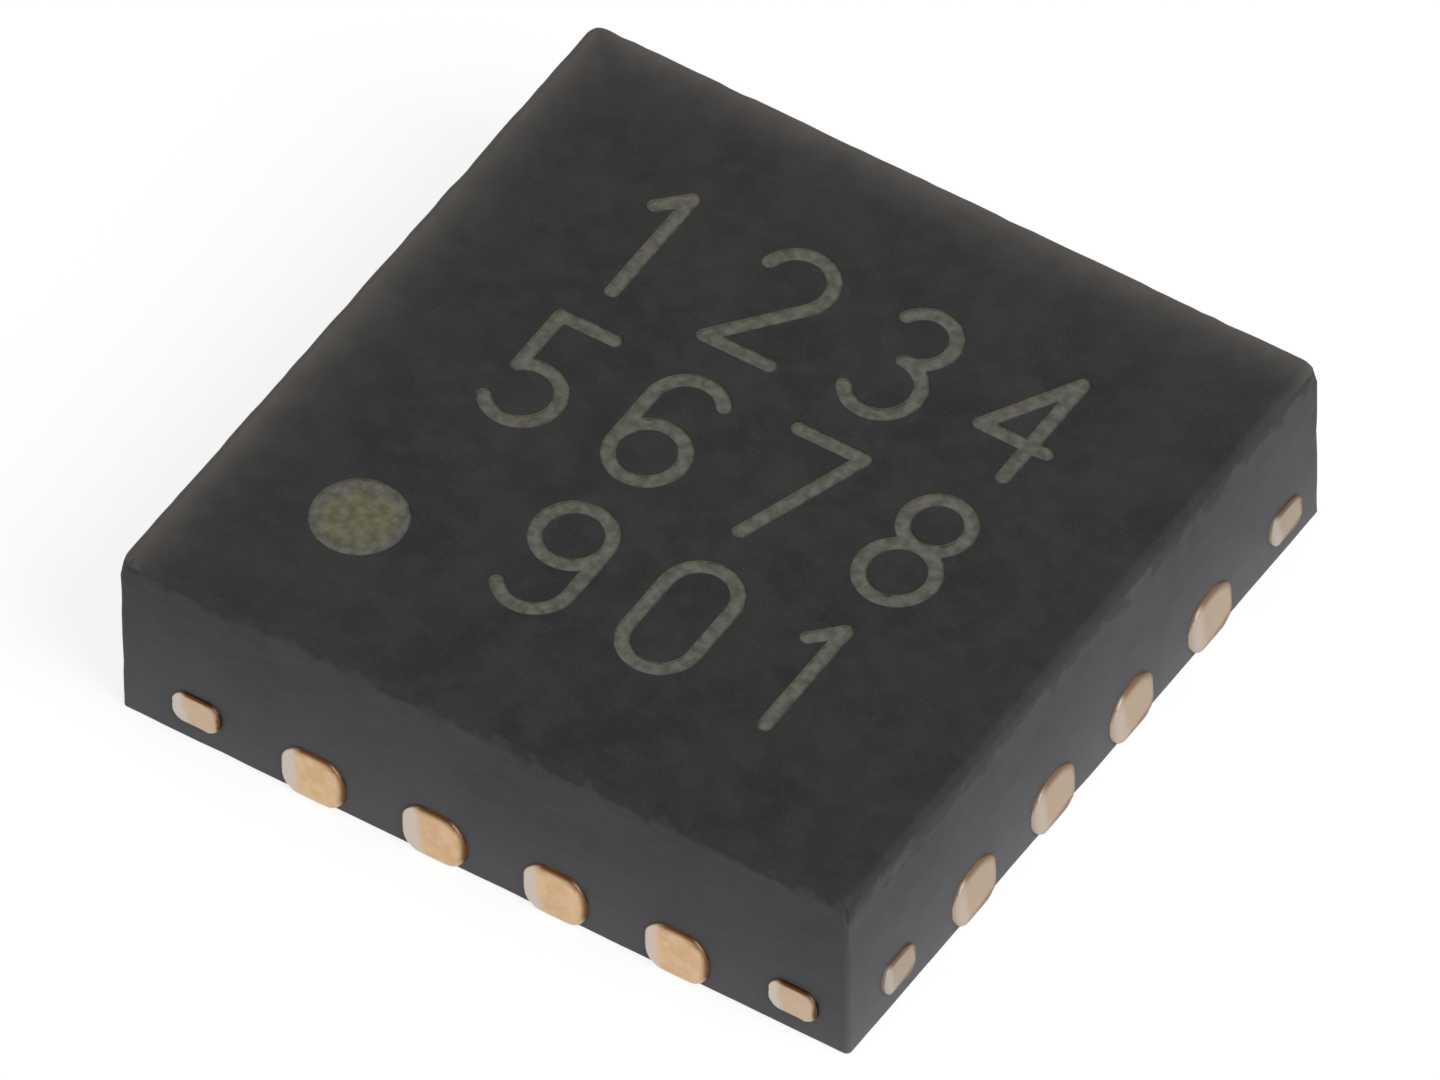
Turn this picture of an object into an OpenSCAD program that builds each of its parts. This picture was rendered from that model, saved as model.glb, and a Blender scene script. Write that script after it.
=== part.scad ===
// Integrated circuit in a saw-cut, leadless, moulded package with sixteen terminals.
// Millimetres, +Z up. The origin is the centre of the seating plane, which the feet of
// the leads and the exposed pad share. +X runs along the marking, +Y from its last line
// to its first, and terminal 1 is on the wall at -Y, next to the round dot.

/* [Moulded body] */
// Side of the square body
body_side = 3.0; // [2.8:0.1:4.5]
// Height of the top above the seating plane
body_top = 0.77; // [0.72:0.01:1.1]
// Gap between the seating plane and the underside of the moulding
standoff = 0.01; // [0.005:0.005:0.05]
// Rounding along the four edges of the top
top_edge_r = 0.04; // [0.02:0.01:0.1]
// Rounding of the four upright edges
upright_r = 0.02; // [0.01:0.01:0.1]

/* [Leadframe] */
// Thickness of the copper sheet
frame_t = 0.24; // [0.18:0.01:0.26]
// Depth etched away from below, where the moulding grips the copper
etch_depth = 0.1; // [0.06:0.01:0.12]
// Offset of the leadframe from the body's centre along X, which the saw leaves
frame_shift_x = 0.05; // [-0.05:0.005:0.05]
// Offset of the leadframe from the body's centre along Y
frame_shift_y = 0.04; // [-0.05:0.005:0.05]
// How far the sawn ends stand out of the walls
end_proud = 0.02; // [0.005:0.005:0.03]
// Rounding of a sawn end's rim
end_r = 0.025; // [0.01:0.005:0.03]

/* [Leads] */
// Leads on each wall
leads_per_side = 4; // [1:1:4]
// Distance from lead to lead
lead_pitch = 0.5; // [0.4:0.01:0.52]
// Width of a lead
lead_w = 0.27; // [0.2:0.01:0.3]
// Rounding of a lead's long edges
lead_r = 0.03; // [0.01:0.01:0.06]
// Rounding of those edges at the wall, where the saw has dragged the copper round
lead_end_r = 0.11; // [0.06:0.01:0.12]
// Length of that rounder stretch
lead_end_len = 0.07; // [0.05:0.01:0.1]
// Length of the foot that is left bare below, from the wall
foot_len = 0.35; // [0.3:0.01:0.4]
// Length of the etched nose inside the moulding
nose_len = 0.1; // [0.04:0.01:0.12]
// Corner rounding of a lead's inner end, seen from below
lead_tip_r = 0.09; // [0.02:0.01:0.09]

/* [Die pad] */
// Side of the bare pad below
pad_side = 1.7; // [1.6:0.05:1.8]
// Corner rounding of the pad
pad_r = 0.04; // [0.02:0.01:0.1]
// Cut across the pad's corner that marks terminal 1
pad_cut = 0.3; // [0.1:0.05:0.4]
// Etched rim of the pad inside the moulding
pad_rim = 0.06; // [0.03:0.01:0.07]
// Width of a tie bar between the pad and its fork
tie_w = 0.14; // [0.1:0.01:0.16]
// Width of the fork's two arms, seen in the walls
tie_end_w = 0.2; // [0.14:0.01:0.22]
// Distance from the body's corner to the middle of an arm
tie_inset = 0.27; // [0.2:0.01:0.3]
// Corner rounding of a tie bar's section
tie_r = 0.06; // [0.02:0.01:0.06]

/* [Die] */
// Side of the silicon die
die_side = 1.2; // [0.95:0.05:1.3]
// Thickness of the die
die_t = 0.2; // [0.1:0.01:0.25]
// Thickness of the adhesive under the die
attach_t = 0.025; // [0.01:0.005:0.04]
// How far the adhesive shows around the die
attach_margin = 0.05; // [0.02:0.01:0.08]

/* [Bond wires] */
// Diameter of the wire
wire_d = 0.025; // [0.018:0.001:0.035]
// Diameter of the ball on the die
ball_d = 0.06; // [0.045:0.005:0.08]
// Height of the ball
ball_h = 0.016; // [0.01:0.002:0.03]
// Distance from ball to ball along the die's edge
ball_pitch = 0.26; // [0.15:0.01:0.27]
// Distance from the die's edge to the balls
ball_inset = 0.07; // [0.04:0.01:0.1]
// Rise of the loop above the die
loop_rise = 0.13; // [0.08:0.01:0.18]
// Distance from the tip of a lead's nose to the far end of the stitch
stitch_inset = 0.16; // [0.12:0.01:0.2]
// Length of the flattened stitch
stitch_len = 0.06; // [0.04:0.01:0.08]
// Width of the stitch
stitch_w = 0.045; // [0.03:0.005:0.06]
// Thickness of the stitch
stitch_t = 0.01; // [0.006:0.001:0.015]

/* [Laser marking] */
// Depth that the laser cuts into the top
mark_depth = 0.01; // [0.005:0.005:0.04]
// Diameter of the dot beside terminal 1
dot_d = 0.36; // [0.2:0.01:0.45]
// Distance from the wall at -X to the dot's centre
dot_inset_x = 0.6; // [0.45:0.005:0.7]
// Distance from the wall at -Y to the dot's centre
dot_inset_y = 0.61; // [0.45:0.005:0.7]
// Width of a digit, between the middles of its outer strokes
digit_w = 0.27; // [0.2:0.01:0.3]
// Height of a digit, between the middles of its outer strokes
digit_h = 0.51; // [0.4:0.01:0.55]
// Width of a stroke
stroke_w = 0.06; // [0.04:0.005:0.08]
// Distance from digit to digit
digit_pitch = 0.515; // [0.45:0.005:0.55]
// Distance from line to line
line_pitch = 0.7; // [0.65:0.01:0.75]
// Shift of the marking's centre from the body's along X
mark_shift_x = 0.03; // [-0.05:0.005:0.05]
// Shift of the marking's centre from the body's along Y
mark_shift_y = 0.015; // [-0.05:0.005:0.05]

/* [Hidden] */
$fn = 48;
// Digits of the marking, line by line, with a space where a place stays empty
mark_lines = ["1234", "5678", " 901"];
lead_count = 4 * leads_per_side;
body_h = body_top - standoff;
half = body_side / 2;
frame_shift = [frame_shift_x, frame_shift_y, 0];
// Distances from the leadframe's centre to the inner ends of a lead's foot and nose
foot_in = half - foot_len;
nose_in = foot_in - nose_len;
pad_half = pad_side / 2;
tie_c = half - tie_inset;
tie_t = frame_t - etch_depth;
attach_top = frame_t + attach_t;
die_top = attach_top + die_t;
ball_line = die_side / 2 - ball_inset;
wire_r = wire_d / 2;
// Sides of a wire's section, and the turn that lays a flat side down
wire_sides = 8;
flat_turn = 180 / wire_sides;
// Points along the curved stretch of a wire's loop
loop_steps = 7;
// Extra length of a cut past the surface that it opens
over = 0.1;

function two_digits(n) = str(n < 10 ? "0" : "", n);
lead_names = [for (n = [1:lead_count]) str("lead_", two_digits(n))];
wire_names = [for (n = [1:lead_count]) str("bond_wire_", two_digits(n))];

// Terminals count round the body: along the wall at -Y, up +X, back along +Y and down -X.
function wall_turn(n) = 90 * floor((n - 1) / leads_per_side);
function place_in_wall(n) = (n - 1) % leads_per_side - (leads_per_side - 1) / 2;

// Distance from the leadframe's centre to the ends sawn in the wall that is -Y turned by t
function sawn_at(t) = half - frame_shift_x * sin(t) + frame_shift_y * cos(t) + end_proud;

// Outline shapes

// Rectangle with its first corner at the origin and a radius for each corner in turn
module rounded(w, h, r) {
    corner = [[0, 0], [w, 0], [w, h], [0, h]];
    ahead = [[1, 0], [0, 1], [-1, 0], [0, -1]];
    back = [for (k = [0:3]) -ahead[(k + 3) % 4]];
    polygon([for (k = [0:3])
        for (d = r[k] > 0 ? [back[k], ahead[k]] : [[0, 0]]) corner[k] + r[k] * d]);
    for (k = [0:3]) if (r[k] > 0)
        translate(corner[k] + r[k] * (back[k] + ahead[k])) circle(r = r[k]);
}

// Straight stroke with round ends, from point a to point b
module stroke(a, b) {
    d = b - a;
    translate(a) rotate(atan2(d[1], d[0])) translate([0, -stroke_w / 2])
        square([norm(d), stroke_w]);
    for (p = [a, b]) translate(p) circle(d = stroke_w);
}

// Curved stroke with round ends, about centre c, counter-clockwise from angle a to b
module bow(c, r, a, b) {
    far = 2 * (r + stroke_w);
    turns = [for (k = [0:3]) a + (b - a) * k / 3];
    translate(c) {
        intersection() {
            difference() {
                circle(r = r + stroke_w / 2);
                circle(r = r - stroke_w / 2);
            }
            polygon(concat([[0, 0]], [for (t = turns) far * [cos(t), sin(t)]]));
        }
        for (t = [a, b]) translate(r * [cos(t), sin(t)]) circle(d = stroke_w);
    }
}

// Full ring of one stroke
module ring(c, r) {
    translate(c) difference() {
        circle(r = r + stroke_w / 2);
        circle(r = r - stroke_w / 2);
    }
}

// Leadframe

// A lead at -Y, seen from above, from its sawn end to its inner end
module lead_outline(sawn, inner) {
    translate([-lead_w / 2, -sawn])
        rounded(lead_w, sawn - inner, [end_r, end_r, lead_tip_r, lead_tip_r]);
}

// A straight run of lead with its long edges rounded by r, that goes down Y from -a to -b
module lead_run(r, a, b) {
    fit_r = min(r, 0.48 * min(frame_t, lead_w));
    translate([-lead_w / 2, -a, 0]) rotate([90, 0, 0])
        linear_extrude(b - a) rounded(lead_w, frame_t, fit_r * [1, 1, 1, 1]);
}

// That lead is what three shapes have in common: its section run along Y, its foot and nose
// seen from above, and its outline from the side, which rounds the sawn end.
module lead_to(sawn) {
    intersection() {
        union() {
            lead_run(lead_r, nose_in - over, sawn - lead_end_len);
            lead_run(lead_end_r, foot_in, sawn + over);
        }
        union() {
            translate([0, 0, -over]) linear_extrude(frame_t + 2 * over)
                lead_outline(sawn, foot_in);
            translate([0, 0, etch_depth]) linear_extrude(frame_t) lead_outline(sawn, nose_in);
        }
        translate([-lead_w, -sawn, 0]) rotate([90, 0, 90]) linear_extrude(2 * lead_w)
            rounded(sawn, frame_t, [end_r, 0, 0, end_r]);
    }
}

module lead(n) {
    turn = wall_turn(n);
    color("peru") translate(frame_shift) rotate(turn)
        translate([place_in_wall(n) * lead_pitch, 0, 0]) lead_to(sawn_at(turn));
}

// Outline of the pad, grown by a rim, with the cut at the corner at -X and -Y
module pad_outline(rim) {
    h = pad_half + rim;
    cut = pad_cut + rim * (2 - sqrt(2));
    difference() {
        translate([-h, -h]) rounded(2 * h, 2 * h, [pad_r, pad_r, pad_r, pad_r]);
        polygon([[-h - over, -h - over], [-h + cut + over, -h - over], [-h - over, -h + cut + over]]);
    }
}

// A straight run of tie bar, w wide, about the line at x that goes up Y from a to b
module tie_run(w, x, a, b) {
    r = min(tie_r, 0.45 * min(tie_t, w));
    translate([x - w / 2, a, frame_t]) rotate([-90, 0, 0])
        linear_extrude(b - a) rounded(w, tie_t, r * [1, 1, 1, 1]);
}

// The tie bar in the corner at +X and +Y turned by t, with its fork's two arms
module tie_bar(t) {
    fork = tie_c - tie_end_w / 2;
    rotate(t) {
        rotate(-45) tie_run(tie_w, 0, pad_half, tie_c * sqrt(2));
        tie_run(tie_end_w, tie_c, fork, sawn_at(t + 180));
        mirror([1, -1, 0]) tie_run(tie_end_w, tie_c, fork, sawn_at(t + 90));
    }
}

module die_pad() {
    color("peru") translate(frame_shift) {
        linear_extrude(frame_t) pad_outline(0);
        translate([0, 0, etch_depth]) linear_extrude(tie_t) pad_outline(pad_rim);
        for (t = [0, 90, 180, 270]) tie_bar(t);
    }
}

// Die

module die_attach() {
    side = die_side + 2 * attach_margin;
    color("lightgray") translate(frame_shift) translate([-side / 2, -side / 2, frame_t])
        linear_extrude(attach_t) rounded(side, side, attach_margin * [1, 1, 1, 1]);
}

module die() {
    color("slategray") translate(frame_shift)
        translate([-die_side / 2, -die_side / 2, attach_top]) cube([die_side, die_side, die_t]);
}

// Bond wires

// Point at t, from 0 to 1, on a curve with four control points
function curve_point(c, t) = let (s = 1 - t)
    s * s * s * c[0] + 3 * s * s * t * c[1] + 3 * s * t * t * c[2] + t * t * t * c[3];

// A wire lies in an upright plane, where u runs from the ball to the stitch, and z up. Each
// station along it is [u, z, half width, half thickness, lean]. The loop leaves the ball
// straight up, tops out over the die and comes down to the stitch, whose span is len.
function wire_stations(len) =
    let (
        neck = die_top + ball_h + wire_r,
        crown = die_top + loop_rise * 4 / 3,
        rest = frame_t + stitch_t / 2,
        turn = len - stitch_len,
        control = [[0, neck], [0, crown], [0.45 * turn, crown], [turn, rest + wire_r / 2]],
        loop = [for (k = [0:loop_steps]) curve_point(control, k / loop_steps)],
        flat = stitch_t / 2 / cos(flat_turn)
    )
    concat(
        [[0, die_top, 0.42 * ball_d, 0.42 * ball_d, 90],
         [0, die_top + ball_h / 2, ball_d / 2, ball_d / 2, 90],
         [0, die_top + ball_h, 0.4 * ball_d, 0.4 * ball_d, 90]],
        [for (k = [0:loop_steps]) let (
            way = loop[min(k + 1, loop_steps)] - loop[max(k - 1, 0)],
            lean = k == 0 ? 90 : atan2(way[1], way[0]))
            [loop[k][0], loop[k][1], wire_r, wire_r, lean]],
        [for (u = [turn + stitch_len / 3, len]) [u, rest, stitch_w / 2, flat, 0]]
    );

// Section of a wire at one station, square to its lean, with a flat side down
function wire_ring(s) = [for (k = [0:wire_sides - 1]) let (
    a = 360 * k / wire_sides + flat_turn,
    across = s[2] * cos(a),
    up = s[3] * sin(a))
    [s[0] - up * sin(s[4]), across, s[1] + up * cos(s[4])]];

// Closed skin over a row of rings, with each side of it split into two triangles
module skin(rings) {
    n = len(rings[0]);
    last = len(rings) - 1;
    points = [for (r = rings) for (p = r) p];
    sides = [for (i = [0:last - 1]) for (k = [0:n - 1]) let (m = (k + 1) % n)
        for (f = [[i * n + k, (i + 1) * n + k, (i + 1) * n + m],
                  [i * n + k, (i + 1) * n + m, i * n + m]]) f];
    caps = [[for (k = [0:n - 1]) k], [for (k = [n - 1:-1:0]) last * n + k]];
    polyhedron(points, concat(sides, caps));
}

module bond_wire(n) {
    ball = [place_in_wall(n) * ball_pitch, -ball_line];
    foot = [place_in_wall(n) * lead_pitch, -nose_in - stitch_inset];
    d = foot - ball;
    color("gold") translate(frame_shift) rotate(wall_turn(n)) translate([ball[0], ball[1], 0])
        rotate(atan2(d[1], d[0])) skin([for (s = wire_stations(norm(d))) wire_ring(s)]);
}

// Marking

// One digit about the middle of its box
module digit(c) {
    x = digit_w / 2;
    y = digit_h / 2;
    // Radius of the narrow bowl in the upper half of an eight
    r = (digit_h - digit_w) / 2;
    if (c == "0" || c == "6") {
        bow([0, y - x], x, c == "0" ? 0 : 35, 180);
        stroke([-x, y - x], [-x, x - y]);
    }
    if (c == "0") {
        bow([0, x - y], x, 180, 360);
        stroke([x, y - x], [x, x - y]);
    }
    if (c == "1") {
        stroke([0, y], [0, -y]);
        stroke([0, y], [-0.7 * x, y - 0.7 * x]);
    }
    if (c == "2") {
        bow([0, y - x], x, -35, 165);
        stroke([x * cos(35), y - x - x * sin(35)], [-x, -y]);
        stroke([-x, -y], [x, -y]);
    }
    if (c == "3") {
        bow([0, y - r], r, -90, 150);
        bow([0, x - y], x, -150, 90);
    }
    if (c == "4") {
        stroke([x / 2, y], [x / 2, -y]);
        stroke([x / 2, y], [-x, -y / 3]);
        stroke([-x, -y / 3], [x, -y / 3]);
    }
    if (c == "5") {
        bow([0, x - y], x, -145, 130);
        stroke([x * cos(130), x - y + x * sin(130)], [x * cos(130), y]);
        stroke([x * cos(130), y], [x, y]);
    }
    if (c == "6") ring([0, x - y], x);
    if (c == "7") {
        stroke([-x, y], [x, y]);
        stroke([x, y], [-x / 3, -y]);
    }
    if (c == "8") {
        ring([0, y - r], r);
        ring([0, x - y], x);
    }
    if (c == "9") rotate(180) digit("6");
}

module marking() {
    lines = len(mark_lines);
    for (i = [0:lines - 1]) for (j = [0:len(mark_lines[i]) - 1])
        translate([mark_shift_x + (j - (len(mark_lines[i]) - 1) / 2) * digit_pitch,
                   mark_shift_y - (i - (lines - 1) / 2) * line_pitch])
            digit(mark_lines[i][j]);
}

// Moulding

// The plain block: its three outlines, each run through the whole body
module mould_block() {
    upright = upright_r * [1, 1, 1, 1];
    side_edges = top_edge_r * [0, 0, 1, 1];
    intersection() {
        translate([-half, -half, standoff - over]) linear_extrude(body_h + 2 * over)
            rounded(body_side, body_side, upright);
        translate([-half, half + over, standoff]) rotate([90, 0, 0])
            linear_extrude(body_side + 2 * over) rounded(body_side, body_h, side_edges);
        translate([-half - over, -half, standoff]) rotate([90, 0, 90])
            linear_extrude(body_side + 2 * over) rounded(body_side, body_h, side_edges);
    }
}

module mould_body() {
    color([0.2, 0.2, 0.2]) difference() {
        mould_block();
        translate([0, 0, body_top - mark_depth]) linear_extrude(mark_depth + over) {
            translate([-half + dot_inset_x, -half + dot_inset_y]) circle(d = dot_d);
            marking();
        }
        die_pad();
        die_attach();
        die();
        for (n = [1:lead_count]) {
            lead(n);
            bond_wire(n);
        }
    }
}

mould_body();
die_pad();
die_attach();
die();
for (n = [1:lead_count]) {
    lead(n);
    bond_wire(n);
}
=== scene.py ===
# %% [markdown]
# # A leadless chip package in close-up
#
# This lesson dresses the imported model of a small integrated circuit: a black moulded square,
# three millimetres wide, whose copper terminals were sawn through at its four walls. The
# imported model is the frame. It is never moved, and every piece made here lies where it says.

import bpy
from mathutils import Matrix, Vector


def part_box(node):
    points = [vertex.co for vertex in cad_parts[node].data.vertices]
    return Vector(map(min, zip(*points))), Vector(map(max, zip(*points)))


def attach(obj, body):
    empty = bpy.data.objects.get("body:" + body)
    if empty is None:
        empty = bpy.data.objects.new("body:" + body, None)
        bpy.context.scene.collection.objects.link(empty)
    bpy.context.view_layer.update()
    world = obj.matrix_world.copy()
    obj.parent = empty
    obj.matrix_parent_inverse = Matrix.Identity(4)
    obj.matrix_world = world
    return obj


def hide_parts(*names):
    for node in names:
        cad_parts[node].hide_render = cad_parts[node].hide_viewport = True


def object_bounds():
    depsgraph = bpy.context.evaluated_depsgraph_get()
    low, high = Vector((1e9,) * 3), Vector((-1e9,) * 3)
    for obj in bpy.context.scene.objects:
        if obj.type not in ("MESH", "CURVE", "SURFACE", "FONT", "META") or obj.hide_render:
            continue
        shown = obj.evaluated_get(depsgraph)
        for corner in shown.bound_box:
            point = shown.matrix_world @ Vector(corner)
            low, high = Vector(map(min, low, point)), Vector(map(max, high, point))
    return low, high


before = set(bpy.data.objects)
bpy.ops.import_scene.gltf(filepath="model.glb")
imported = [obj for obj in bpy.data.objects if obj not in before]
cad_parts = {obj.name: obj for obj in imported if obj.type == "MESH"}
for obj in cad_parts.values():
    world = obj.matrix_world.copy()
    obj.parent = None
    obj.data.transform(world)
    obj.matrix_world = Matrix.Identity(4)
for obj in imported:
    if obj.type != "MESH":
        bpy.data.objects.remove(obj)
cad_low, cad_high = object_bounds()
print("the CAD box spans", [round(1000 * s, 3) for s in cad_high - cad_low], "mm")

# %% Blender's modules
from math import copysign, cos, hypot, pi, radians, sin

import bmesh
import bpy
from mathutils import Matrix, Vector, noise
from mathutils.kdtree import KDTree

print("Blender", bpy.app.version_string)

# %% [markdown]
# ## Sizes
#
# The frame is in metres, but a chip is easier to think about in millimetres. So the mesh work
# below is done in millimetres, and each finished mesh is scaled down as its last step. Sizes
# that the frame knows are read from it, so that they follow the CAD model when it changes.

# %% Sizes read from the frame
mm = 0.001


def box_mm(node):
    """Lowest and highest corner of a CAD node, in millimetres."""
    low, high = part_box(node)
    return low / mm, high / mm


mould_low, mould_high = box_mm("mould_body")
half = mould_high.x
top = mould_high.z
underside = mould_low.z
proud = cad_high.x / mm - half
print(f"half side {half:.3f}, top {top:.3f}, ends stand out {proud:.3f} mm")

# %% Nodes of the leads and the wires
lead_names = sorted(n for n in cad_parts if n.startswith("lead_"))
wire_names = sorted(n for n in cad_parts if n.startswith("bond_wire_"))
print(len(lead_names), "leads and", len(wire_names), "wires")

# %% [markdown]
# The laser has cut the marking a little way into the top. Its floor is the lowest level that
# the moulding's mesh has just under the top and away from the rounded edges.

# %% Depth of the marking
marked_half = 0.8 * half
search_depth = 0.1
mark_floor = min(
    v.co.z / mm
    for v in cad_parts["mould_body"].data.vertices
    if max(abs(v.co.x), abs(v.co.y)) / mm < marked_half and v.co.z / mm > top - search_depth
)
print(f"the marking is {top - mark_floor:.3f} mm deep")

# %% [markdown]
# ## Shader maths
#
# A finish is built from small patterns that are added, multiplied and compared. Wiring Math
# nodes by hand hides that arithmetic, so a small class wraps a socket and lets Python's own
# operators add the nodes. The reflected forms make `1 - mask` work as well as `mask - 1`.

# %% A number that flows through a finish
class Value:
    """A socket of a finish. Operators on it add Math nodes."""

    def __init__(self, finish, socket):
        self.finish = finish
        self.socket = socket

    def other(self, output):
        """Another output of the same node."""
        return Value(self.finish, self.socket.node.outputs[output])

    def math(self, operation, a, b=0.0):
        return self.finish.node("ShaderNodeMath", {"operation": operation}, {0: a, 1: b})

    def __add__(self, other):
        return self.math("ADD", self, other)

    def __radd__(self, other):
        return self.math("ADD", other, self)

    def __sub__(self, other):
        return self.math("SUBTRACT", self, other)

    def __rsub__(self, other):
        return self.math("SUBTRACT", other, self)

    def __mul__(self, other):
        return self.math("MULTIPLY", self, other)

    def __rmul__(self, other):
        return self.math("MULTIPLY", other, self)

    def __pow__(self, other):
        return self.math("POWER", self, other)

    def __abs__(self):
        return self.math("ABSOLUTE", self)

    def larger(self, other):
        return self.math("MAXIMUM", self, other)


# %% Colours as they look
def linear(*levels):
    """A colour given as it looks on screen, 0 to 255, in the linear light that shaders use."""
    return tuple(
        (c / 255 / 12.92 if c <= 10 else ((c / 255 + 0.055) / 1.055) ** 2.4) for c in levels
    ) + (1.0,)


print("a middle grey on screen is", round(linear(128)[0], 3), "in a shader")

# %% [markdown]
# Every other node comes from one method, `node`. It sets the node's own settings first and
# then fills its sockets with numbers or links. A few short helpers name the patterns that the
# finishes share. Sizes given to them are in millimetres, because the coordinates are scaled
# to millimetres once, at the start of each finish.

# %% The nodes of one finish
class Finish:
    """A material around one Principled shader, with its nodes."""

    def __init__(self, name, **constants):
        self.material = bpy.data.materials.new(name)
        self.material.use_nodes = True
        self.tree = self.material.node_tree
        self.shader = self.tree.nodes["Principled BSDF"]
        for socket, number in constants.items():
            self.shader.inputs[socket.replace("_", " ")].default_value = number
        metres = self.node("ShaderNodeTexCoord", output="Object")
        scaled = {"operation": "SCALE"}
        self.place = self.node("ShaderNodeVectorMath", scaled, {0: metres, "Scale": 1 / mm})
        self.x = self.node("ShaderNodeSeparateXYZ", {}, {0: self.place})
        self.y = self.x.other("Y")
        self.z = self.x.other("Z")

    def node(self, kind, settings={}, sockets={}, output=0):
        """Adds a node: its settings first, then the values or links of its sockets."""
        made = self.tree.nodes.new(kind)
        for key, setting in settings.items():
            setattr(made, key, setting)
        for key, value in sockets.items():
            if isinstance(value, Value):
                self.tree.links.new(value.socket, made.inputs[key])
            else:
                made.inputs[key].default_value = value
        return Value(self, made.outputs[output])

    def noise(self, size, detail=2.0, stretch=None):
        """Cloudy pattern from 0 to 1 whose blotches are about size wide, in millimetres."""
        where = self.place
        if stretch:
            squeezed = [1 / s for s in stretch]
            where = self.node("ShaderNodeMapping", {}, {"Vector": where, "Scale": squeezed})
        sockets = {"Vector": where, "Scale": 1 / size, "Detail": detail}
        return self.node("ShaderNodeTexNoise", {}, sockets)

    def grains(self, size):
        """Distance from the nearest of many scattered points, about size apart."""
        sockets = {"Vector": self.place, "Scale": 1 / size}
        return self.node("ShaderNodeTexVoronoi", {}, sockets, "Distance")

    def ramp(self, value, low, high):
        """0 below low, 1 above high and a smooth rise between them."""
        smooth = {"interpolation_type": "SMOOTHSTEP"}
        limits = {"Value": value, "From Min": low, "From Max": high}
        return self.node("ShaderNodeMapRange", smooth, limits)

    def mix(self, mask, a, b):
        """Colour a where the mask is 0, colour b where it is 1."""
        return self.node("ShaderNodeMix", {"data_type": "RGBA"}, {0: mask, 6: a, 7: b}, 2)

    def mottle(self, pattern, a, b):
        """Both colours in blotches, from a pattern that keeps near its middle."""
        return self.mix(self.ramp(pattern, 0.3, 0.7), a, b)

    def number(self, name):
        """A number that the piece's own mesh carries at each of its points."""
        return self.node("ShaderNodeAttribute", {"attribute_name": name}, {}, "Fac")

    def side(self):
        """Distance from the middle towards the nearest wall."""
        return abs(self.x).larger(abs(self.y))

    def on_x_walls(self):
        """1 at the walls at -X and +X, 0 at those at -Y and +Y."""
        return self.ramp(abs(self.x) - abs(self.y), -0.01, 0.01)

    def feed(self, **sockets):
        """Links values to the shader's sockets, and returns the finished material."""
        for socket, value in sockets.items():
            self.tree.links.new(value.socket, self.shader.inputs[socket.replace("_", " ")])
        return self.material

    def relief(self, height, depth):
        """A normal bent as if a height from 0 to 1 stood depth millimetres tall."""
        sockets = {"Height": height, "Distance": depth * mm, "Strength": 1.0}
        return self.node("ShaderNodeBump", {}, sockets)


# %% [markdown]
# ## The moulding compound
#
# The black body is epoxy filled with tiny silica spheres, and it shows three kinds of surface.
# Its top was pressed in a mould, its walls were sawn, and a laser has burned the marking in.
# Each kind could be a material of its own on its own faces, but on the real part their borders
# are ragged and follow no edge. So one finish paints all three, and tells them apart by place.
#
# The pressed top is a fine matte charcoal, a little cloudy, with a fine grain. A painted sheen
# makes it paler along the edges at -X and +Y, and a little paler towards them across the top.
# The sheen is a high power of the nearness to those edges, which falls off quickly at first
# and then slowly.

# %% The pressed top
# These numbers and the last grey give a painted sheen: a paler colour along the top's edges at -X
# and +Y that stands in for light.
painted_sheen_start = 0.98
painted_sheen_power = 12
painted_sheen_edge = 0.035, 0.015
cool_charcoal, warm_charcoal = linear(36, 37, 39), linear(47, 45, 44)
cloud_grey, grain_grey, painted_sheen_grey = linear(54, 54, 54), linear(72, 72, 71), linear(98, 94, 90)


def pressed_top(f, blotch, cloud, grain):
    """Matte charcoal, with a painted sheen along two edges."""
    skin = f.mottle(blotch, cool_charcoal, warm_charcoal)
    skin = f.mix(f.ramp(cloud, 0.35, 0.75) * 0.5, skin, cloud_grey)
    skin = f.mix(f.ramp(grain, 0.5, 0.8) * 0.25, skin, grain_grey)
    # Painted sheen: paler near the edges at -X and +Y, and a little paler towards them across the
    # top.
    reach = f.y.larger(-1 * f.x)
    painted_sheen = (reach + 0.04 * cloud + (painted_sheen_start - half)).larger(0) ** painted_sheen_power
    painted_sheen = painted_sheen + 0.05 * f.ramp(reach, -half, half)
    painted_sheen = painted_sheen * f.ramp(f.z, top - painted_sheen_edge[0], top - painted_sheen_edge[1])
    return f.mix(painted_sheen, skin, painted_sheen_grey)


# %% [markdown]
# A saw blade cuts the silica spheres open and leaves a greyer face with faint streaks along
# its path. The sawn face ends in a ragged line just under the top's edge, which lies lower on
# the walls at -X and +X. Those two walls are painted a little darker as painted shade, and
# every wall is painted paler towards its foot.

# %% The sawn walls
line_drop = 0.055
line_edge = 0.045, 0.005
sphere_size = 0.02
wall_dark, wall_pale, streak_grey = linear(51, 51, 53), linear(60, 60, 63), linear(70, 70, 73)
# Of the next greys, the second is a painted shade for the walls at -X and +X, and the third makes
# each wall paler towards its foot.
sphere_grey, painted_shade_grey, foot_grey = linear(86, 86, 88), linear(38, 38, 40), linear(92, 92, 95)


def sawn_share(f, cloud, ragged):
    """1 on the sawn face of a wall and 0 above its ragged line."""
    on_x = f.on_x_walls()
    unsteady = (0.18 + 0.08 * on_x) * (cloud - 0.5) + 0.04 * (ragged - 0.5)
    line = f.z + unsteady + line_drop * on_x
    below = 1 - f.ramp(line, top - line_edge[0], top - line_edge[1])
    return below * f.ramp(f.side(), half - 0.03, half - 0.015)


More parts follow.
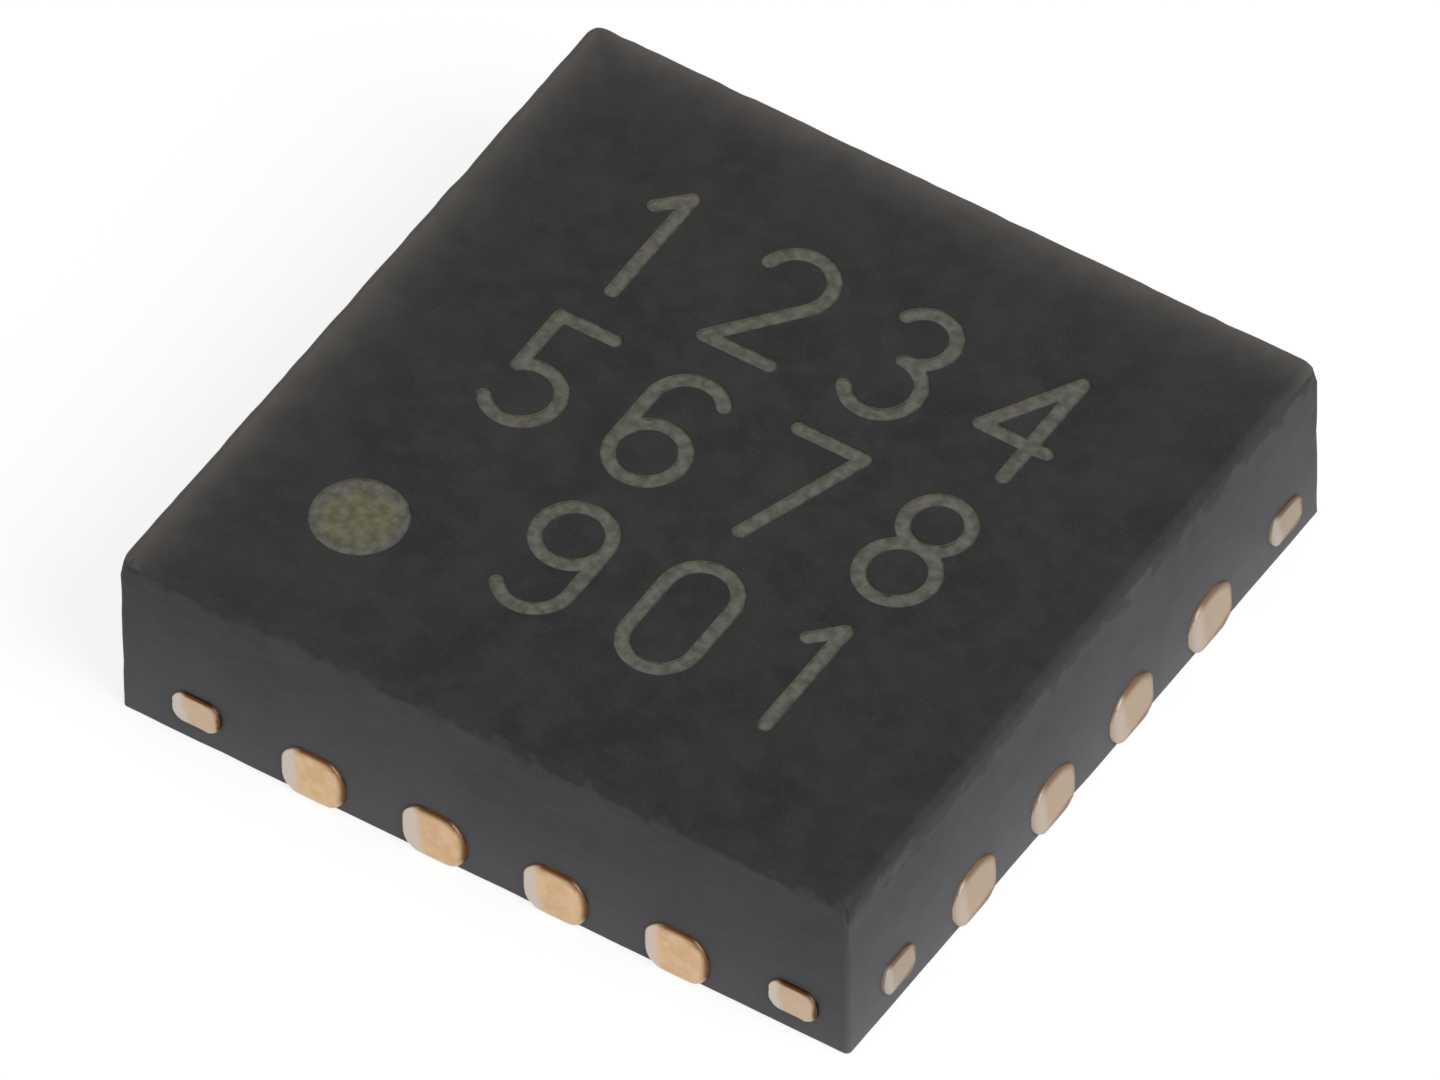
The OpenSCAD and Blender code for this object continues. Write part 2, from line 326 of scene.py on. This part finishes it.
def sawn_wall(f, blotch, streak):
    """Streaked grey with opened spheres, painted shade at -X and +X, and paler towards its foot.
    """
    wall = f.mottle(blotch, wall_dark, wall_pale)
    wall = f.mix(f.ramp(streak, 0.35, 0.75) * 0.25, wall, streak_grey)
    spheres = 1 - f.ramp(f.grains(sphere_size), 0.1, 0.35)
    wall = f.mix(spheres * 0.2, wall, sphere_grey)
    # Painted shade: the walls at -X and +X are painted darker.
    wall = f.mix(f.on_x_walls() * 0.15, wall, painted_shade_grey)
    # Each wall is painted paler towards its foot.
    paler_foot = ((top - f.z) * (1 / top)) ** 2
    return f.mix(paler_foot * 0.8, wall, foot_grey)


# %% [markdown]
# The laser burned the resin away and left a rough floor, grey along the rim of each stroke and
# olive in its middle. Place alone can't tell how far the rim is, so the mesh carries a number
# for that: `inset`, the distance to the edge of the stroke.

# %% The burnt marking
rim_grey, rim_pale = linear(81, 80, 72), linear(105, 104, 95)
olive, olive_pale = linear(87, 85, 66), linear(110, 106, 85)


def burnt_share(f, ragged, inset):
    """1 on the floor of the marking, up to a ragged rim inside each stroke."""
    inside = 1 - f.ramp(f.side(), marked_half - 0.02, marked_half)
    sunk = 1 - f.ramp(f.z, top - 0.004, top - 0.001)
    near_top = f.ramp(f.z, mark_floor - 0.02, mark_floor - 0.01)
    return inside * sunk * near_top * f.ramp(inset + 0.04 * ragged, 0.008, 0.026)


def burnt_floor(f, inset):
    """Scorched grey that turns olive away from the rim."""
    scorch = f.noise(0.04, 3.0)
    grey = f.mottle(scorch, rim_grey, rim_pale)
    green = f.mottle(scorch, olive, olive_pale)
    return f.mix(f.ramp(inset, 0.03, 0.08), grey, green)


# %% [markdown]
# The three surfaces now come together. The sawn face is laid over the pressed skin, and the
# burnt floor over both. The same shares make the walls a little smoother and the marking
# rougher, and choose which pattern stands in relief.

# %% Finish of the moulding
def moulding_finish():
    f = Finish("moulding_compound", Specular_IOR_Level=0.25)
    blotch, cloud = f.noise(0.35, 3.0), f.noise(0.09, 2.0)
    ragged, grain = f.noise(0.05, 3.0), f.noise(0.012, 2.0)
    streak = f.noise(0.03, 2.0, stretch=(4, 4, 1))
    inset = f.number("inset")

    sawn = sawn_share(f, cloud, ragged)
    burnt = burnt_share(f, ragged, inset)
    body = f.mix(sawn, pressed_top(f, blotch, cloud, grain), sawn_wall(f, blotch, streak))
    body = f.mix(burnt, body, burnt_floor(f, inset))

    height = grain * (1 - 0.5 * sawn) + 0.3 * sawn * streak + burnt * f.noise(0.02, 3.0)
    return f.feed(
        Base_Color=body,
        Roughness=0.6 + 0.12 * cloud - 0.05 * sawn + 0.2 * burnt,
        Normal=f.relief(height, 0.0015),
    )


moulding = moulding_finish()
print(moulding.name, "has", len(moulding.node_tree.nodes), "nodes")

# %% [markdown]
# ## Copper, bare and plated
#
# The leadframe is etched copper sheet, and the saw has laid its ends bare. Each end is a
# peach-coloured pillow. Its rim at the top and one side is painted brown as painted shade, and a
# pale band along the other side is a painted reflection of the pale table. The walls at -X and
# +X were sawn first and are duller, and the foot of their ends is brown towards one corner.
#
# An image could be painted for one end and laid on all, but then all would look alike. A
# pattern that follows the end and wavers with its place keeps them different. For that the
# mesh carries two numbers: `across`, from -1 at the end's left edge to 1 at its right as seen
# from outside, and `up`, from -1 at its foot to 1 at its top.

# %% The bare sawn ends
peach, pale_peach = linear(205, 171, 131), linear(219, 187, 150)
dull_peach = linear(174, 158, 141)
tie_peach, dull_tie_peach = linear(190, 174, 156), linear(164, 154, 141)
# A pale white for a painted reflection along one side of each end.
reflection_white = linear(204, 196, 188)
# A brown for painted shade on each end's rim, and a brown for the lower corner of its foot.
rim_shade_brown, foot_corner_brown = linear(104, 66, 38), linear(138, 106, 88)
tie_zone = 0.6, 0.4


def sawn_end(f, across, up, rim, waver):
    """A peach pillow with a painted reflection along one side, painted shade on its rim and brown
    at its foot.
    """
    dull = f.on_x_walls()
    tie = f.ramp(abs(f.x) + abs(f.y), 2 * half - tie_zone[0], 2 * half - tie_zone[1])
    bare = f.mix(dull * 0.75, f.mottle(waver, peach, pale_peach), dull_peach)
    bare = f.mix(tie * 0.6, bare, f.mix(dull, tie_peach, dull_tie_peach))
    drift = f.noise(0.6, 0.0)
    # Painted reflection: a pale band along the left side of the end.
    painted_reflection = 1 - f.ramp(across + 0.12 * up + 0.4 * waver + 0.3 * drift, -0.3, 0.05)
    bare = f.mix(painted_reflection * (0.8 - 0.35 * dull), bare, reflection_white)
    # Painted shade: the rim at the top and right turns brown.
    painted_rim_shade = rim * f.ramp(across + up + 0.3 * waver, 0.25, 0.75) * (1 - 0.35 * dull)
    bare = f.mix(painted_rim_shade, bare, rim_shade_brown)
    # Brown towards the lower right corner of the foot.
    foot_corner = dull * f.ramp(0.8 * across - 3 * up + 0.6 * waver, 2.1, 2.9)
    return f.mix(foot_corner * 0.7, bare, foot_corner_brown)


# %% [markdown]
# The feet and the pad below are plated with matte tin, so that they take solder. Inside the
# moulding the sheet is plain etched copper. Height tells these two apart, and the distance
# from the middle tells where the bare ends begin.

# %% Finish of the leadframe
tin, pale_tin, etched_copper = linear(196, 194, 190), linear(216, 214, 210), linear(205, 140, 104)


def copper_finish():
    f = Finish("sawn_copper_and_tin", Metallic=1.0)
    across, up = f.number("across"), f.number("up")
    rim = f.ramp(across * across + up * up - across * across * up * up, 0.6, 0.95)
    waver = f.noise(0.05, 2.0)
    sawn = f.ramp(f.side(), half - 0.004, half + 0.002)
    above = f.ramp(f.z, underside - 0.004, underside + 0.004)
    sheet = f.mix(above, f.mottle(f.noise(0.03, 3.0), tin, pale_tin), etched_copper)

    streak = f.noise(0.012, 2.0, stretch=(9, 9, 1))
    height = streak * sawn + f.noise(0.02, 3.0) * (1 - sawn)
    return f.feed(
        Base_Color=f.mix(sawn, sheet, sawn_end(f, across, up, rim, waver)),
        Roughness=0.38 + 0.14 * waver + 0.25 * rim * f.on_x_walls(),
        Normal=f.relief(height, 0.001),
    )


copper = copper_finish()
print(copper.name, "has", len(copper.node_tree.nodes), "nodes")

# %% [markdown]
# ## Finishes inside the package
#
# Nobody sees the die, its adhesive and the bond wires in the closed package, but a section
# through it shows them. The die is polished silicon with blocks of circuitry on its top. A
# brick pattern gives such blocks at once, and nobody could tell a truer plan at this size.

# %% Finish of the die
circuit_blue, circuit_violet = linear(58, 74, 96), linear(96, 84, 110)
circuit_gap, circuit_fine = linear(120, 128, 140), linear(44, 52, 66)
silicon_grey = linear(92, 95, 102)
block_width, block_height, block_gap = 0.19, 0.11, 0.006


def silicon_finish():
    f = Finish("silicon", Metallic=0.6, Roughness=0.22)
    blocks = f.node("ShaderNodeTexBrick", {}, {
        "Vector": f.place, "Scale": 1.0, "Mortar Size": block_gap,
        "Row Height": block_height, "Brick Width": block_width,
        "Color1": circuit_blue, "Color2": circuit_violet, "Mortar": circuit_gap,
    })
    fine = f.noise(0.01, 2.0, stretch=(1, 6, 1))
    pattern = f.mix(f.ramp(fine, 0.4, 0.6) * 0.4, blocks, circuit_fine)
    die_top = box_mm("die")[1].z
    top_face = f.ramp(f.z, die_top - 0.002, die_top - 0.001)
    return f.feed(Base_Color=f.mix(top_face, silicon_grey, pattern))


silicon = silicon_finish()
print(silicon.name, "has", len(silicon.node_tree.nodes), "nodes")

# %% [markdown]
# The adhesive is epoxy full of silver flakes, so its metallic look comes and goes from point
# to point. The wires are drawn gold, with fine lines along their way.

# %% Finishes of the adhesive and the wires
epoxy_grey, flake_silver = linear(150, 150, 146), linear(226, 226, 222)
gold_dark, gold_pale = linear(236, 186, 96), linear(255, 214, 132)


def adhesive_finish():
    f = Finish("silver_epoxy")
    flake = 1 - f.ramp(f.grains(0.012), 0.2, 0.5)
    return f.feed(
        Base_Color=f.mix(flake, epoxy_grey, flake_silver),
        Metallic=flake,
        Roughness=0.6 - 0.25 * flake,
    )


def gold_finish():
    f = Finish("drawn_gold", Metallic=1.0)
    lines = f.noise(0.004, 2.0, stretch=(1, 1, 8))
    return f.feed(Base_Color=f.mix(lines, gold_dark, gold_pale), Roughness=0.2 + 0.12 * lines)


adhesive = adhesive_finish()
gold = gold_finish()
print("finishes:", ", ".join(m.name for m in bpy.data.materials))

# %% [markdown]
# ## Fine copies
#
# The CAD meshes have the right form but only as many points as their outlines need. To give a
# surface waves, a crown or pits, it needs more. A Subdivision Surface or a remesh would add
# them, but would also melt the corners. So each new piece starts as a copy of its node with
# the loose triangles merged, and is then scored by planes on a regular grid, which adds points
# without changing the form. Only then are the points moved.

# %% Copying and scoring a node
axes = Matrix.Identity(3)
weld = 1e-5


def fine_copy(node):
    """A bmesh of a CAD node in millimetres, with its doubled points merged."""
    bm = bmesh.new()
    bm.from_mesh(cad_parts[node].data)
    bmesh.ops.scale(bm, vec=(1 / mm,) * 3, verts=bm.verts)
    bmesh.ops.remove_doubles(bm, verts=bm.verts, dist=weld)
    return bm


def score(bm, faces, axis, start, stop, count):
    """Cuts faces along evenly spaced planes square to an axis, and returns their parts."""
    edges = {e for f in faces for e in f.edges}
    geom = [*{v for e in edges for v in e.verts}, *edges, *faces]
    square = axes[axis]
    for k in range(count):
        plane = (start + (stop - start) * (k + 0.5) / count) * square
        cut = bmesh.ops.bisect_plane(bm, geom=geom, dist=weld, plane_co=plane, plane_no=square)
        geom = cut["geom"]
    return [part for part in geom if isinstance(part, bmesh.types.BMFace)]


# %% Turning a bmesh into a piece
hard_corner = 38
round_wire_corner = 60


def finished(bm, name, material, node, corner=hard_corner):
    """A piece in metres that stands for a CAD node, smooth but for its real corners."""
    bmesh.ops.scale(bm, vec=(mm,) * 3, verts=bm.verts)
    mesh = bpy.data.meshes.new(name)
    bm.to_mesh(mesh)
    bm.free()
    for left_over in [a for a in mesh.attributes if a.name == "custom_normal"]:
        mesh.attributes.remove(left_over)
    mesh.shade_smooth()
    mesh.set_sharp_from_angle(angle=radians(corner))
    mesh.materials.clear()
    mesh.materials.append(material)
    piece = bpy.data.objects.new(name, mesh)
    bpy.context.scene.collection.objects.link(piece)
    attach(piece, "root")
    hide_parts(node)
    return piece


# %% [markdown]
# ## The moulding
#
# The sawn walls are not perfectly flat, and the top's edges are nicked by a hundredth of a
# millimetre. A bump in the finish would fake that on the faces but leave the outline ruled, so
# the points themselves are moved: in by a slow noise, and never out, so that the body keeps
# its size. The top's four corners are worn round in plan.

# %% Waves, nicks and worn corners
wall_wave = 0.004
edge_wave = 0.012
edge_zone = 0.06
wave_rate, nick_rate, chip_rate = 6.0, 9.0, 23.0
nick_base, nick_gain = 0.1, 0.6
corner_r = 0.065
corner_fade = 0.1
upright_wear = 0.05


def wave_in(bm):
    """Pushes the walls in by a slow noise and the top's edges by faster ones."""
    for v in bm.verts:
        high = max(0, (v.co.z - top) / edge_zone + 1)
        push = wall_wave * max(0, noise.noise(v.co * wave_rate))
        nicks = noise.noise(v.co * nick_rate) + noise.noise(v.co * chip_rate)
        push += edge_wave * high * max(0, nick_base + nick_gain * nicks)
        for axis in (0, 1):
            near = (abs(v.co[axis]) - half + edge_zone) / edge_zone
            if near > 0:
                v.co[axis] -= copysign(push * near, v.co[axis])


def wear_corners(bm):
    """Turns squares around each corner into circles at the top, and less so further down."""
    centre = half - corner_r
    for v in bm.verts:
        x, y = abs(v.co.x) - centre, abs(v.co.y) - centre
        worn = max(upright_wear, 1 - (top - v.co.z) / corner_fade)
        if min(x, y) > 0:
            share = 1 + worn * (max(x, y) / hypot(x, y) - 1)
            v.co.x = copysign(centre + share * x, v.co.x)
            v.co.y = copysign(centre + share * y, v.co.y)


# %% [markdown]
# The floor of the marking is scored much finer than the rest. Its points are lifted and sunk
# at random, as the laser's pulses leave it, and each gets its distance to the edge of its
# stroke, which is where a point of the floor meets one that isn't on it.

# %% The pitted floor of the marking
pit_depth = 0.001
pit_rate = 45.0


def in_marking(point):
    """Tells whether a point lies on the floor of the marking."""
    return abs(point.z - mark_floor) < weld and max(abs(point.x), abs(point.y)) < marked_half


def on_edge(v):
    """Tells whether a point of the floor has a neighbour off it."""
    return not all(in_marking(e.other_vert(v).co) for e in v.link_edges)


def pit_marking(bm):
    """Notes each floor point's distance to a stroke's edge and roughens the floor."""
    floor = [v for v in bm.verts if in_marking(v.co)]
    edge = [v for v in floor if on_edge(v)]
    tree = KDTree(len(edge))
    for k, v in enumerate(edge):
        tree.insert(v.co, k)
    tree.balance()
    inset = bm.verts.layers.float["inset"]
    for v in floor:
        v[inset] = tree.find(v.co)[2]
    for v in floor:
        v.co.z += pit_depth * noise.noise(v.co * pit_rate)


# %% [markdown]
# Only the outer faces are scored. The hollows around the copper stay as they are, because
# nothing of them shows and the mesh would grow for nothing.

# %% Model the moulding
wall_skin = 0.02
wall_bands, edge_bands, wall_columns, marking_lines = 12, 8, 60, 150
far_inside = 1


def on_outside(point):
    """Tells whether a point lies on the top or a wall, not in the hollows around the copper."""
    return point.z > top - edge_zone or max(abs(point.x), abs(point.y)) > half - wall_skin


body = fine_copy("mould_body")
inset = body.verts.layers.float.new("inset")
for v in body.verts:
    v[inset] = far_inside
print("the moulding starts with", len(body.faces), "faces")
faces = [f for f in body.faces if on_outside(f.calc_center_median())]
faces = score(body, faces, 2, underside, top, wall_bands)
faces = score(body, faces, 2, top - corner_r, top, edge_bands)
for axis in (0, 1):
    faces = score(body, faces, axis, -half, half, wall_columns)
    for side in (-1, 1):
        faces = score(body, faces, axis, side * (half - corner_r), side * half, edge_bands)
wave_in(body)
wear_corners(body)
marked = [f for f in faces if in_marking(f.calc_center_median())]
marked = score(body, marked, 0, -marked_half, marked_half, marking_lines)
score(body, marked, 1, -marked_half, marked_half, marking_lines)
pit_marking(body)
print("the moulding ends with", len(body.faces), "faces")
finished(body, "moulding", moulding, "mould_body")

# %% [markdown]
# ## Sawn ends
#
# Copper is soft, so the saw drags it into a round pillow instead of cutting it square. A lead
# stands out of one wall, and the pad's tie bars out of all four, twice each. Each end could be
# a cushion of its own laid on the wall, but then it wouldn't be one with its lead. So the ends
# are found in the mesh itself, as groups of points outside a wall with a gap between them.

# %% Find the sawn ends of a piece
least_gap = 0.3
walls = (1, -1), (0, 1), (1, 1), (0, -1)


def sawn_ends(bm):
    """Each end's wall, as an axis and a side, with the lowest and highest corner of the end."""
    ends = []
    for axis, side in walls:
        groups = []
        outside = [v.co for v in bm.verts if side * v.co[axis] > half + weld]
        for point in sorted(outside, key=lambda p: p[1 - axis]):
            if not groups or point[1 - axis] - groups[-1][-1][1 - axis] > least_gap:
                groups.append([])
            groups[-1].append(point)
        for group in groups:
            corners = [Vector(pick(p[i] for p in group) for i in range(3)) for pick in (min, max)]
            ends.append((axis, side, *corners))
    return ends


# %% [markdown]
# Each end is scored finely, and its points get the numbers `across` and `up`. Then its upper
# rim is drawn back towards the wall, and a few rounds of smoothing melt the facets of its
# corners. The ring of points at the wall stays, so the end doesn't come away from its lead.

# %% Dress one sawn end
crown = 0.009
end_planes, depth_planes = 16, 5
smoothing_rounds = 12
inner_ring, outer_ring = 0.004, 0.003
wall_room, side_room = 0.01, 1.1
every_way = {"use_axis_x": True, "use_axis_y": True, "use_axis_z": True}


def dress_end(bm, axis, side, low, high):
    """Scores and numbers one sawn end and draws its upper rim back."""
    along = 1 - axis
    middle, size = (low + high) / 2, (high - low) / 2

    def is_near(point):
        aside = abs(point[along] - middle[along])
        return side * point[axis] > half - wall_room and aside < side_room * size[along]

    start, stop = side * (half - inner_ring), side * (half + proud)
    score(bm, bm.faces, axis, start, stop, depth_planes)
    faces = [f for f in bm.faces if is_near(f.calc_center_median())]
    faces = score(bm, faces, along, low[along], high[along], end_planes)
    score(bm, faces, 2, low.z, high.z, end_planes)
    across, up = (bm.verts.layers.float.get(name) for name in ("across", "up"))
    rightward = -side if axis == 1 else side
    for v in [v for v in bm.verts if is_near(v.co)]:
        a = (v.co[along] - middle[along]) / size[along]
        b = (v.co.z - middle.z) / size.z
        v[across], v[up] = a * rightward, b
        stand = (side * v.co[axis] - half) / proud
        if stand > 0:
            rim = min(1, a * a + b * b - a * a * b * b)
            v.co[axis] -= side * crown * stand * rim * (1 + b) / 2
    outer = [v for v in bm.verts if is_near(v.co) and side * v.co[axis] > half + outer_ring]
    for _ in range(smoothing_rounds):
        bmesh.ops.smooth_vert(bm, verts=outer, factor=0.5, **every_way)


# %% Dress the leads and the tie bars
def dressed(node):
    """A fine copy of a node of the leadframe with its sawn ends dressed."""
    bm = fine_copy(node)
    for name in ("across", "up"):
        bm.verts.layers.float.new(name)
    for end in sawn_ends(bm):
        dress_end(bm, *end)
    return bm


for name in lead_names:
    finished(dressed(name), name.replace("lead", "terminal"), copper, name)
tie_ends = dressed("die_pad")
print("terminals:", len(lead_names), "and ends of tie bars:", len(sawn_ends(tie_ends)))
finished(tie_ends, "pad_and_tie_bars", copper, "die_pad")

# %% [markdown]
# ## What is sealed inside
#
# The bond wires have eight flat sides in the CAD model. Smooth shading across them is all that
# a wire a fortieth of a millimetre thick needs. The die and its adhesive are plain slabs, so
# they keep the CAD mesh and only get their finish.

# %% Finish the inner pieces
for name in wire_names:
    gold_name = name.replace("bond", "gold")
    finished(fine_copy(name), gold_name, gold, name, corner=round_wire_corner)
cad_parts["die"].material_slots[0].material = silicon
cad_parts["die_attach"].material_slots[0].material = adhesive
print("wires:", len(wire_names))

# %% [markdown]
# ## The table
#
# The chip lies on a plain white table in a light tent. More light would turn a pale table
# white, but it would wash out the chip as well. So a part of the table's white is a glow that
# only the camera and reflections see, and the rest still takes the chip's shadow.

# %% The table
table_white = linear(228, 228, 228)
glow_share, glow_strength = 0.72, 1.15
table_half = 0.12


def table_finish():
    f = Finish("white_table", Base_Color=table_white, Roughness=0.9, Specular_IOR_Level=0.0)
    path = f.node("ShaderNodeLightPath", output="Is Camera Ray")
    seen = path.larger(path.other("Is Glossy Ray")).larger(path.other("Is Transmission Ray"))
    white_glow = {"Color": linear(255, 255, 255), "Strength": glow_strength}
    glow = f.node("ShaderNodeEmission", {}, white_glow)
    paint = Value(f, f.shader.outputs[0])
    mixed = f.node("ShaderNodeMixShader", {}, {0: seen * glow_share, 1: paint, 2: glow})
    f.tree.links.new(mixed.socket, f.tree.nodes["Material Output"].inputs["Surface"])
    return f.material


surface = bmesh.new()
bmesh.ops.create_grid(surface, x_segments=1, y_segments=1, size=table_half)
table_mesh = bpy.data.meshes.new("table")
surface.to_mesh(table_mesh)
surface.free()
table_mesh.materials.append(table_finish())
table = bpy.data.objects.new("table", table_mesh)
bpy.context.scene.collection.objects.link(table)
print("the table is", round(2 * table_half / mm), "mm wide")

# %% [markdown]
# ## The light
#
# The walls of a light tent glow evenly, which the world's own light does well. Two soft square
# lamps shape the chip: a strong one from the right, which makes the wall at +X the brighter
# one, and a weak one from the left. All of it together is about as strong as a colour needs to
# show as it is written.

# %% The light tent
tent_strength = 0.38
world = bpy.data.worlds.new("light_tent")
bpy.context.scene.world = world
world.use_nodes = True
sky = world.node_tree.nodes["Background"]
sky.inputs["Color"].default_value = (1.0, 1.0, 1.0, 1.0)
sky.inputs["Strength"].default_value = tent_strength


def softbox(name, azimuth, elevation, distance, size, strength):
    """A square lamp that faces the chip and gives it that share of a full light."""
    data = bpy.data.lights.new(name, "AREA")
    data.size = size
    data.energy = strength * pi * pi * distance * distance
    lamp = bpy.data.objects.new(name, data)
    a, e = radians(azimuth), radians(elevation)
    back = Vector((sin(a) * cos(e), -cos(a) * cos(e), sin(e)))
    lamp.location = distance * back
    lamp.rotation_euler = back.to_track_quat("Z", "Y").to_euler()
    bpy.context.scene.collection.objects.link(lamp)
    return lamp


softbox("key_softbox", azimuth=80, elevation=42, distance=0.06, size=0.04, strength=0.85)
softbox("fill_softbox", azimuth=-40, elevation=35, distance=0.06, size=0.05, strength=0.1)

# %% [markdown]
# ## The camera
#
# The picture was taken from far away with a long lens: the body's opposite edges run almost
# parallel. The camera looks down at 48 degrees, about a third of a right angle round from the
# wall with terminal 1, and leans a degree. Its picture is about five millimetres wide at the
# chip.

# %% The camera
camera_azimuth = radians(33.80)
camera_elevation = radians(48.03)
camera_lean = radians(-0.87)
camera_distance = 160 * mm
picture_width = 4.9818 * mm
middle_of_body = Vector((0, 0, 0.395)) * mm
off_centre = Vector((0.0024, 0.0270)) * mm

back = Vector((
    sin(camera_azimuth) * cos(camera_elevation),
    -cos(camera_azimuth) * cos(camera_elevation),
    sin(camera_elevation),
))
level = Vector((cos(camera_azimuth), sin(camera_azimuth), 0))
upright = back.cross(level)
right = cos(camera_lean) * level + sin(camera_lean) * upright
up = cos(camera_lean) * upright - sin(camera_lean) * level
aim = middle_of_body - off_centre.x * right - off_centre.y * up

lens = bpy.data.cameras.new("long_lens")
lens.sensor_width = 36
lens.lens = lens.sensor_width * camera_distance / picture_width
lens.clip_start = 0.01
lens.clip_end = 10
camera = bpy.data.objects.new("camera", lens)
pose = Matrix((right, up, back)).transposed().to_4x4()
camera.matrix_world = Matrix.Translation(aim + camera_distance * back) @ pose
bpy.context.scene.collection.objects.link(camera)
bpy.context.scene.camera = camera
bpy.context.scene.view_settings.view_transform = "Standard"
print(f"lens {lens.lens:.0f} mm at {camera_distance / mm:.0f} mm")
